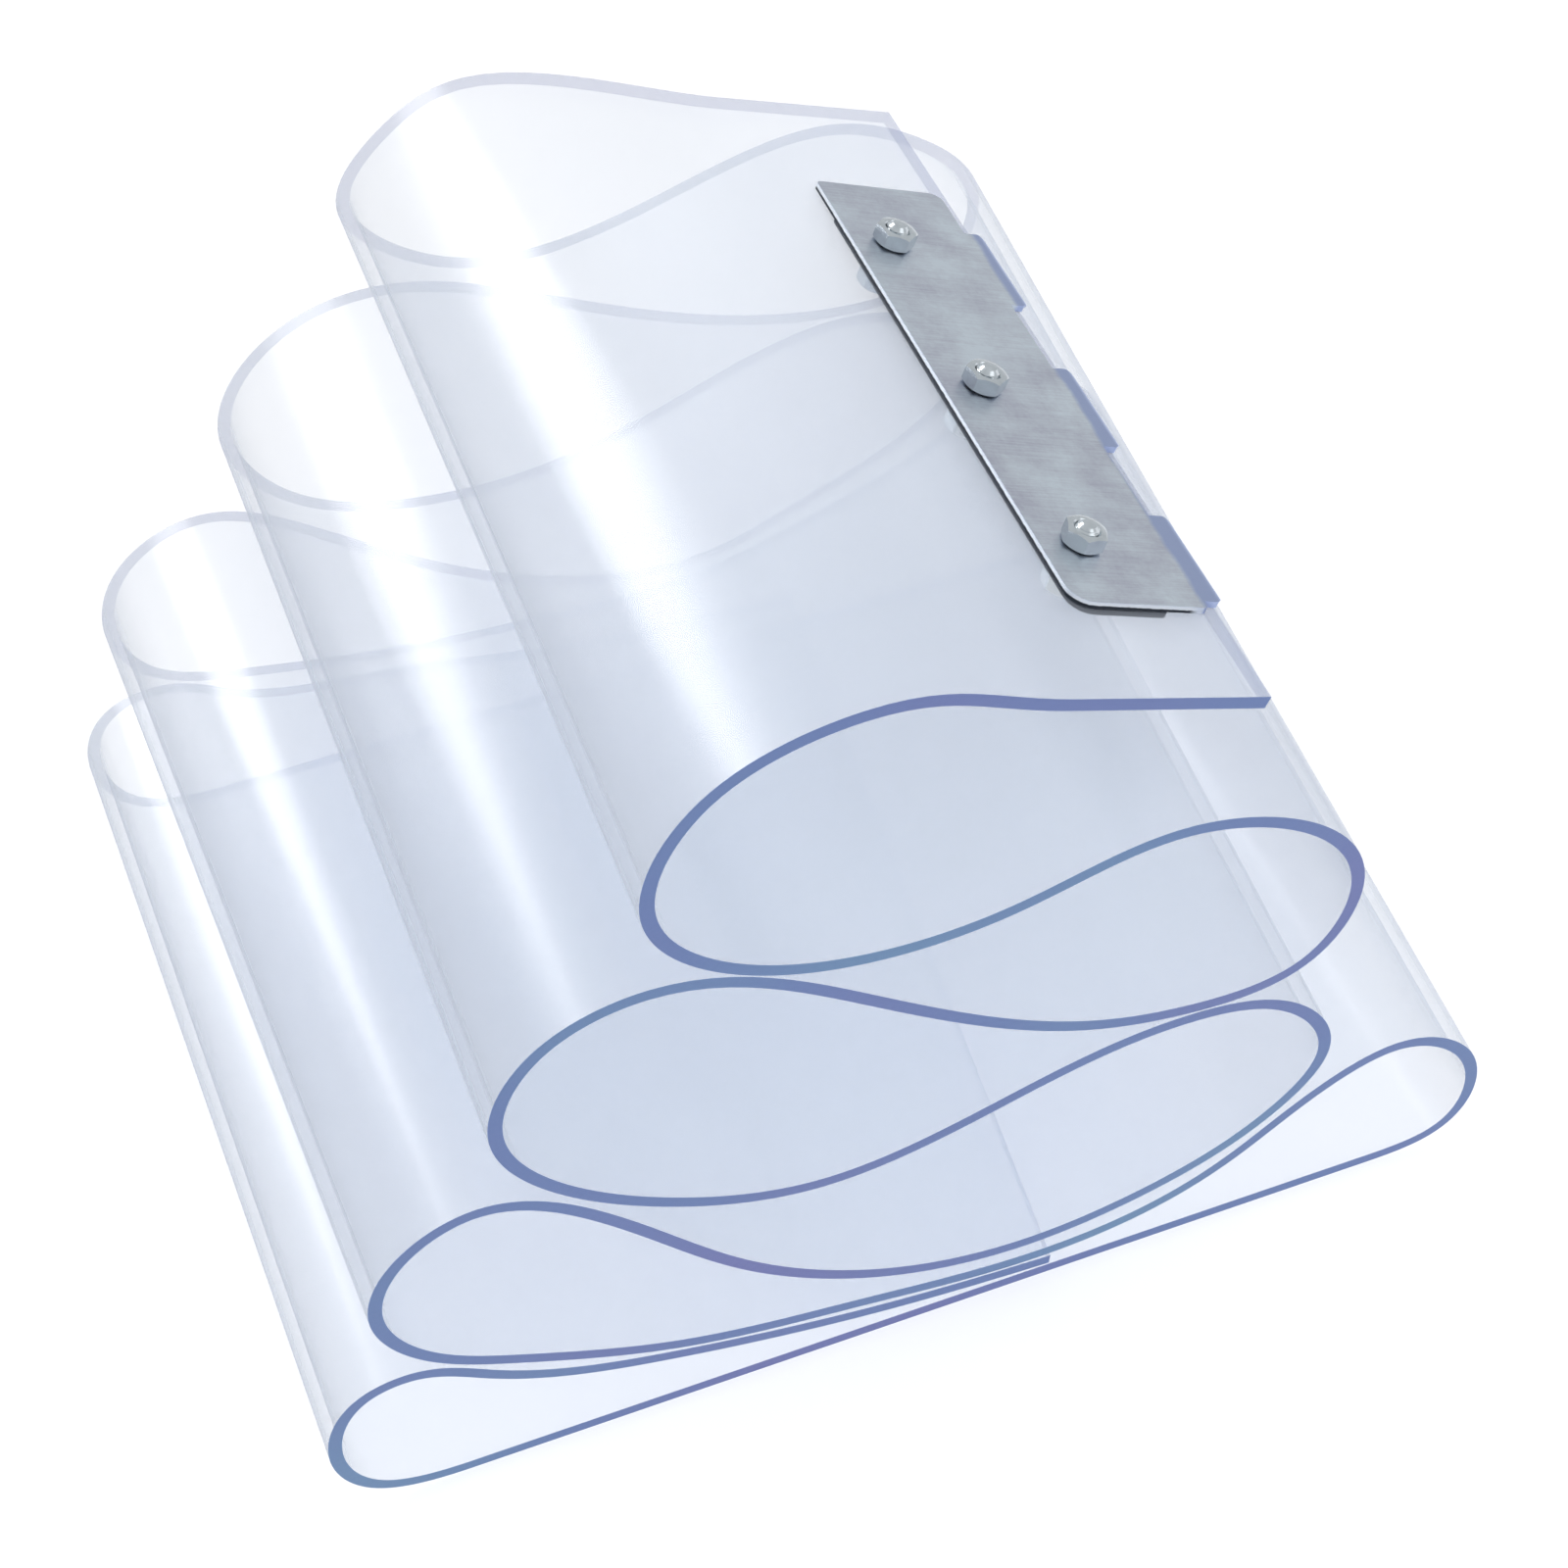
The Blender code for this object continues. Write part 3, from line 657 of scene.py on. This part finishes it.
def ring_mesh(name, rings, close_ends):
    """Quads between rings of equal counts, with a face at each end or a wall all round."""
    shape = bmesh.new()
    made = [[shape.verts.new(point) for point in ring] for ring in rings]
    pairs = list(zip(made, made[1:]))
    if not close_ends:
        pairs.append((made[-1], made[0]))
    for low, high in pairs:
        for i in range(len(low)):
            j = (i + 1) % len(low)
            shape.faces.new((low[i], low[j], high[j], high[i]))
    if close_ends:
        shape.faces.new(made[0])
        shape.faces.new(made[-1])
    bmesh.ops.recalc_face_normals(shape, faces=shape.faces)
    mesh = bpy.data.meshes.new(name)
    shape.to_mesh(mesh)
    shape.free()
    mesh.shade_smooth()
    mesh.set_sharp_from_angle(angle=math.radians(32))
    return mesh


def polar(radii, heights):
    """A ring of points, whose radius and height may change round it."""
    count = len(radii)
    return [(r * math.cos(2 * math.pi * i / count), r * math.sin(2 * math.pi * i / count), z)
            for i, (r, z) in enumerate(zip(radii, heights))]


def hexagon_radii(across_flats, count):
    half = across_flats / 2
    sector = math.pi / 3
    return [half / math.cos((2 * math.pi * i / count) % sector - sector / 2) for i in range(count)]


def chamfered_hexagon(count):
    """Radius of the turned face, the sides' radii, and how far the cone lies below the face."""
    flat, slope = NUT_FLATS / 2 - 0.1 * MM, math.tan(math.radians(30))
    sides = hexagon_radii(NUT_FLATS, count)
    return flat, sides, [max(0.0, (radius - flat) * slope) for radius in sides]


def nut_shape(bore, height=NUT_HEIGHT, count=96):
    """Hexagon nut whose corners are turned off by a cone at both ends."""
    flat, sides, drop = chamfered_hexagon(count)
    sink = 0.35 * MM
    level = lambda value: [value] * count
    return ring_mesh("nut_shape", [
        polar(level(bore), level(sink)), polar(level(bore), level(height - sink)),
        polar(level(bore + sink), level(height)), polar(level(flat), level(height)),
        polar(sides, [height - fall for fall in drop]), polar(sides, drop),
        polar(level(flat), level(0)), polar(level(bore + sink), level(0))], False)


def bolt_shape(pitch, length, radius=BOLT_RADIUS, threaded=6 * MM, count=40):
    """Hexagon-headed bolt, its head below Z = 0, threaded towards its domed end."""
    flat, sides, drop = chamfered_hexagon(count)
    level = lambda value: [value] * count
    rings = [polar(level(flat), level(-BOLT_HEAD)),
             polar(sides, [fall - BOLT_HEAD for fall in drop]),
             polar(sides, level(0)), polar(level(radius), level(0)),
             polar(level(radius), level(length - threaded))]
    depth, rows = 0.45 * MM, 9
    dome = length - 0.9 * MM
    for row in range(1, int(threaded / pitch * rows)):
        height = length - threaded + row * pitch / rows
        fade = min(1.0, row / rows)
        wave = [abs(2 * ((height / pitch - i / count) % 1) - 1) for i in range(count)]
        thread = [radius - fade * depth * min(1, max(0, 1.25 * w - 0.12)) for w in wave]
        if height > dome:
            tip = radius - 0.25 * MM - (height - dome) * 0.9
            thread = [min(tip, value) for value in thread]
        rings.append(polar(thread, level(height)))
    for share, rise in ((0.6, -0.05), (0.35, 0.0)):
        rings.append(polar(level(radius * share), level(length + rise * MM)))
    return ring_mesh("bolt_shape", rings, True)


def new_object(name, mesh):
    item = bpy.data.objects.new(name, mesh)
    bpy.context.scene.collection.objects.link(item)
    return item


def own(item, nodes, slot):
    """The piece stands for its CAD nodes and rides on the part's one body."""
    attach(item, BODY)
    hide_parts(*nodes)


def bevel(item, width, angle, segments=3):
    """Rounds the sharp edges, and keeps the flat faces flat to the light."""
    item.data.shade_smooth()
    modifier = item.modifiers.new("Edge round", "BEVEL")
    modifier.width, modifier.segments = width, segments
    modifier.limit_method, modifier.angle_limit = "ANGLE", math.radians(angle)
    weighted = item.modifiers.new("Flat faces", "WEIGHTED_NORMAL")
    weighted.mode, weighted.weight, weighted.keep_sharp = "FACE_AREA_WITH_ANGLE", 100, False


class STRIP_OT_sheet(bpy.types.Operator):
    """Makes the folded strip along its route, with its bolt holes and cut edges"""
    bl_idname = "pvc_strip.make_sheet"
    bl_label = "Make folded strip"

    def execute(self, context):
        settings = context.scene.strip_settings
        line = strip_line(settings)
        face, edge = clear_face_material(settings), cut_edge_material(settings)
        item = route_object(line, settings.width)
        run_tree(item, ruled_sheet_tree(face, edge), {
            "Columns": settings.columns, "Thickness": settings.thickness, "Width": settings.width})
        plain_mesh(item)
        matrix = clamp_matrix(line, settings.width)
        drills = bmesh.new()
        for place in bolt_places():
            bmesh.ops.create_cone(drills, cap_ends=True, segments=32, radius1=BOLT_HOLE,
                                  radius2=BOLT_HOLE, depth=4 * settings.thickness,
                                  matrix=matrix @ Matrix.Translation(place))
        mesh = bpy.data.meshes.new("drills")
        drills.to_mesh(mesh)
        drills.free()
        mesh.materials.append(edge)
        cutter = new_object("drills", mesh)
        cut = item.modifiers.new("Bolt holes", "BOOLEAN")
        cut.object, cut.solver, cut.material_mode = cutter, "EXACT", "TRANSFER"
        plain_mesh(item)
        bpy.data.objects.remove(cutter)
        bevel(item, settings.edge_round, 60, 2)
        plain_mesh(item)
        own(item, ["pvc_strip"], "clear_pvc")
        return {"FINISHED"}


class STRIP_OT_plates(bpy.types.Operator):
    """Rounds and brushes the two plates of the hook clamp"""
    bl_idname = "pvc_strip.finish_plates"
    bl_label = "Finish clamp plates"

    def execute(self, context):
        settings = context.scene.clamp_settings
        strip = context.scene.strip_settings
        bright = plate_material(settings, clamp_matrix(strip_line(strip), strip.width))
        dark = shaded_plate_material(settings)
        for node, slot, steel in (("hook_plate", "brushed_plate", bright),
                                  ("counter_plate", "counter_plate", dark)):
            shape = bmesh.new()
            shape.from_mesh(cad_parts[node].data)
            bmesh.ops.remove_doubles(shape, verts=shape.verts, dist=0.000002)
            bmesh.ops.dissolve_limit(shape, angle_limit=math.radians(1), verts=shape.verts,
                                     edges=shape.edges)
            bmesh.ops.recalc_face_normals(shape, faces=shape.faces)
            mesh = bpy.data.meshes.new("steel_" + node)
            shape.to_mesh(mesh)
            shape.free()
            mesh.materials.append(steel)
            item = new_object("steel_" + node, mesh)
            bevel(item, settings.edge_break, 40)
            plain_mesh(item)
            own(item, [node], slot)
        return {"FINISHED"}


class STRIP_OT_fasteners(bpy.types.Operator):
    """Makes the three threaded bolts and their nuts"""
    bl_idname = "pvc_strip.make_fasteners"
    bl_label = "Make bolts and nuts"

    def execute(self, context):
        settings = context.scene.fastener_settings
        strip = context.scene.strip_settings
        matrix = clamp_matrix(strip_line(strip), strip.width)
        tree = fasteners_tree(zinc_material(settings))
        seat = strip.thickness / 2 + PLATE_THICKNESS + 2 * SEAT_GAP
        length = 2 * seat + NUT_HEIGHT + BOLT_PROUD
        for name, shape, height, turns in (
                ("nut", nut_shape(BOLT_RADIUS + 0.08 * MM), seat, NUT_TURNS),
                ("bolt", bolt_shape(settings.thread_pitch, length), -seat, BOLT_TURNS)):
            pattern = new_object(name + "_pattern", shape)
            item = new_object("zinc_%ss" % name, clamp_points(matrix, height, turns))
            run_tree(item, tree, {"Shape": pattern})
            plain_mesh(item)
            bpy.data.objects.remove(pattern)
            own(item, ["%s_%d" % (name, i + 1) for i in range(BOLTS)], name)
        return {"FINISHED"}


def floor_material(settings):
    """Pale floor that shows white to the camera and keeps the shadow."""
    material, wiring, shader = new_material("pale_floor")
    plug(wiring, shader, Base_Color=colour(settings.floor_tint), Roughness=0.8)
    shader.inputs["Specular IOR Level"].default_value = 0.1
    seen = wiring.node("ShaderNodeLightPath", {}, (), "Is Camera Ray")
    glow = wiring.node("ShaderNodeEmission", {}, {
        "Color": (1, 1, 1, 1), "Strength": seen * FLOOR_GLOW})
    whole = wiring.node("ShaderNodeAddShader", {}, (Signal(wiring, shader.outputs[0]), glow))
    output = wiring.tree.nodes["Material Output"]
    wiring.tree.links.new(whole.socket, output.inputs["Surface"])
    return material


def light_world(strength):
    """White to the camera, a plain pale level to reflections, and a lower one that lights."""
    world = bpy.data.worlds.new("studio")
    world.use_nodes = True
    wiring = Wiring(world.node_tree)
    path = world.node_tree.nodes.new("ShaderNodeLightPath")
    seen = Signal(wiring, path.outputs["Is Camera Ray"])
    mirrored = wiring.node("ShaderNodeMath", {"operation": "MAXIMUM"}, (
        Signal(wiring, path.outputs["Is Glossy Ray"]),
        Signal(wiring, path.outputs["Is Transmission Ray"])))
    level = seen * (1 - strength) + mirrored * (MIRRORED_SKY - strength) + strength
    background = world.node_tree.nodes["Background"]
    background.inputs["Color"].default_value = (0.96, 0.98, 1, 1)
    world.node_tree.links.new(level.socket, background.inputs["Strength"])
    bpy.context.scene.world = world


def add_lamp(name, place, size, power, streaks_only):
    """Area lamp. One for the streaks lights only the gloss of the sheet and the bolts."""
    lamp = bpy.data.lights.new(name, "AREA")
    lamp.shape, lamp.size, lamp.size_y, lamp.energy = "RECTANGLE", *size, power
    item = new_object(name, lamp)
    item.location = place
    item.rotation_euler = (Vector(LAMP_AIM) - item.location).to_track_quat("-Z", "Y").to_euler()
    item.visible_diffuse = not streaks_only
    if streaks_only:
        glossy = bpy.data.collections.new(name + "_receivers")
        for receiver in ("pvc_sheet", "zinc_bolts"):
            glossy.objects.link(bpy.data.objects[receiver])
        item.light_linking.receiver_collection = glossy


def add_overhead(strength):
    """Wide, even light from above on matt surfaces, sampled so that the folds get it inside too."""
    lamp = bpy.data.lights.new("overhead", "SUN")
    lamp.energy, lamp.angle = strength, OVERHEAD_SPREAD
    lamp.cycles.use_multiple_importance_sampling = False
    new_object("overhead", lamp).visible_glossy = False


class STRIP_OT_stage(bpy.types.Operator):
    """Lays the pale floor and sets the soft light and the camera"""
    bl_idname = "pvc_strip.lay_stage"
    bl_label = "Lay stage"

    def execute(self, context):
        settings = context.scene.stage_settings
        shape = bmesh.new()
        bmesh.ops.create_grid(shape, x_segments=1, y_segments=1, size=4)
        mesh = bpy.data.meshes.new("floor")
        shape.to_mesh(mesh)
        shape.free()
        mesh.transform(Matrix.Translation((0, 0, -0.2 * MM)))
        mesh.materials.append(floor_material(settings))
        new_object("floor", mesh)
        light_world(settings.sky)
        add_overhead(settings.overhead)
        for name, place, size, share, streaks_only in LAMPS:
            add_lamp(name, place, size, settings.lamp * share, streaks_only)
        camera = bpy.data.cameras.new("camera")
        camera.lens, camera.sensor_width = CAMERA_LENS, 36
        camera.clip_start, camera.clip_end = 0.01, 30
        item = new_object("camera", camera)
        level = math.cos(CAMERA_ELEVATION)
        back = Vector((math.sin(CAMERA_AZIMUTH) * level, -math.cos(CAMERA_AZIMUTH) * level,
                       math.sin(CAMERA_ELEVATION)))
        right = Vector((math.cos(CAMERA_AZIMUTH), math.sin(CAMERA_AZIMUTH), 0))
        turn = Matrix((right, back.cross(right), back)).transposed()
        item.matrix_world = Matrix.Translation(CAMERA_PLACE) @ turn.to_4x4()
        context.scene.camera = item
        context.scene.view_settings.view_transform = "Standard"
        rays = context.scene.cycles
        rays.max_bounces, rays.diffuse_bounces, rays.glossy_bounces = 8, 3, 4
        rays.transparent_max_bounces = 40
        return {"FINISHED"}


class STRIP_PT_panel(bpy.types.Panel):
    """Sizes, colours and makers of the curtain strip"""
    bl_idname = "STRIP_PT_panel"
    bl_label = "PVC curtain strip"
    bl_space_type = "VIEW_3D"
    bl_region_type = "UI"
    bl_category = "Strip"

    def draw(self, context):
        for settings, maker in (("strip_settings", STRIP_OT_sheet),
                                ("clamp_settings", STRIP_OT_plates),
                                ("fastener_settings", STRIP_OT_fasteners),
                                ("stage_settings", STRIP_OT_stage)):
            box = self.layout.box()
            group = getattr(context.scene, settings)
            for name in group.__annotations__:
                box.prop(group, name)
            box.operator(maker.bl_idname)


GROUPS = {"strip_settings": StripSettings, "clamp_settings": ClampSettings,
          "fastener_settings": FastenerSettings, "stage_settings": StageSettings}
CLASSES = (*GROUPS.values(), STRIP_OT_sheet, STRIP_OT_plates, STRIP_OT_fasteners, STRIP_OT_stage,
           STRIP_PT_panel)


def register():
    for item in CLASSES:
        bpy.utils.register_class(item)
    for name, group in GROUPS.items():
        setattr(bpy.types.Scene, name, PointerProperty(type=group))


def unregister():
    for name in GROUPS:
        delattr(bpy.types.Scene, name)
    for item in reversed(CLASSES):
        bpy.utils.unregister_class(item)


def main():
    register()
    bpy.ops.pvc_strip.make_sheet()
    bpy.ops.pvc_strip.finish_plates()
    bpy.ops.pvc_strip.make_fasteners()
    bpy.ops.pvc_strip.lay_stage()


if __name__ == "__main__":
    main()
